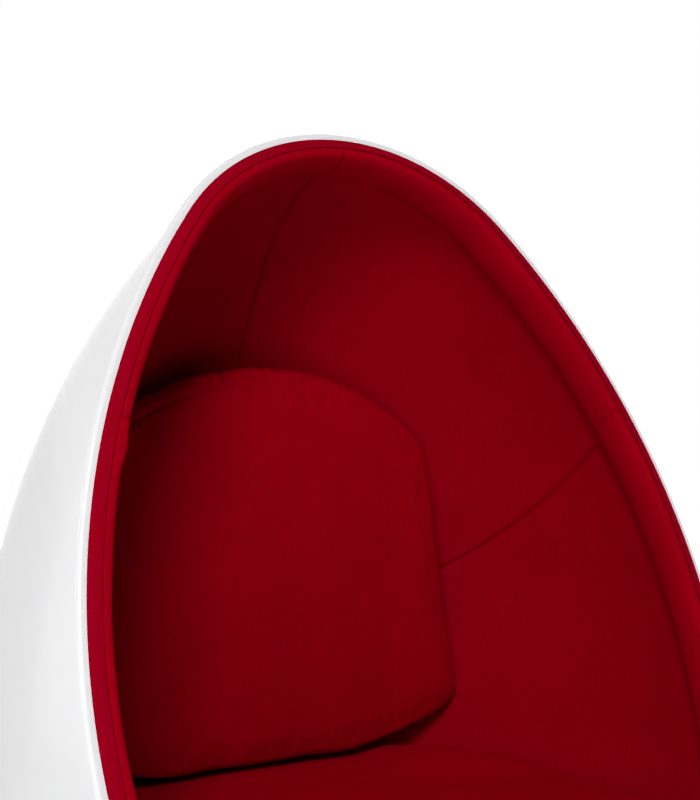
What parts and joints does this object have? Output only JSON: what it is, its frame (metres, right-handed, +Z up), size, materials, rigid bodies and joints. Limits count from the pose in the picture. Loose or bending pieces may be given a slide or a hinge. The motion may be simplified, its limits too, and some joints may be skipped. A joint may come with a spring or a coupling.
{
  "type": "egg shaped swivel armchair",
  "caption": "Egg-shaped swivel lounge chair: glossy white shell on a round trumpet base, red padded lining, loose back and seat cushions.",
  "frame": {"origin": "centre of the base's underside on the swivel axis, at floor level", "axes": "+Z up along the swivel axis, the opening of the chair faces -Y, +X is the chair's own left side for someone who sits in it"},
  "size_m": [0.85, 0.746, 1.2966],
  "materials": {
    "gelcoat": "white gel-coat, polished",
    "polished_metal": "polished",
    "black_steel": "black powder coat",
    "machined_steel": "machined",
    "zinc_steel": "zinc plated",
    "bush_plastic": "natural nylon",
    "plywood": "birch plywood, raw",
    "foam": "open cell foam",
    "red_cloth": "brushed plain cloth",
    "lining_cloth": "brushed plain cloth on foam",
    "red_twill": "ribbed twill band",
    "felt": "felt pad"
  },
  "bodies": {
    "base": {"floor_pad": "felt", "base_plate": "black_steel", "base_cover": "polished_metal", "column_tube": "black_steel", "lower_bush": "bush_plastic", "upper_bush": "bush_plastic", "lower_race": "machined_steel"},
    "bearing_cage": {"thrust_balls": "machined_steel", "ball_cage": "bush_plastic"},
    "pod": {"upper_race": "machined_steel", "spindle": "machined_steel", "retaining_washer": "machined_steel", "retaining_ring": "machined_steel", "top_plate": "black_steel", "neck_shroud": "polished_metal", "plate_washers": "zinc_steel", "plate_bolts": "zinc_steel", "tee_nuts": "zinc_steel", "mounting_block": "plywood", "shell": "gelcoat", "lining_upper_left": "lining_cloth", "lining_upper_right": "lining_cloth", "lining_lower": "lining_cloth", "collar_upper_left": "lining_cloth", "collar_upper_right": "lining_cloth", "collar_lower": "lining_cloth", "edge_strip": "bush_plastic", "edge_band": "red_twill", "seat_base_foam": "foam", "seat_base_cover": "red_cloth", "seat_cushion_foam": "foam", "seat_cushion_cover": "red_cloth", "seat_cushion_zip": "bush_plastic"},
    "back_cushion": {"back_cushion_foam": "foam", "back_cushion_cover": "red_cloth", "back_cushion_zip": "bush_plastic"}
  },
  "joints": [
    {"name": "pod_swivel", "type": "hinge", "parent": "base", "child": "pod", "pos_m": [0, 0, 0.1115], "axis": [0, 0, 1], "continuous": true},
    {"name": "cage_spin", "type": "hinge", "parent": "base", "child": "bearing_cage", "pos_m": [0, 0, 0.1115], "axis": [0, 0, 1], "continuous": true},
    {"name": "back_cushion_lift", "type": "slide", "parent": "pod", "child": "back_cushion", "axis": [0, -0.866, 0.5], "range_m": [0, 0.45]}
  ],
  "couplings": [
    {"joint": "cage_spin", "follows": "pod_swivel", "ratio": 0.5}
  ]
}
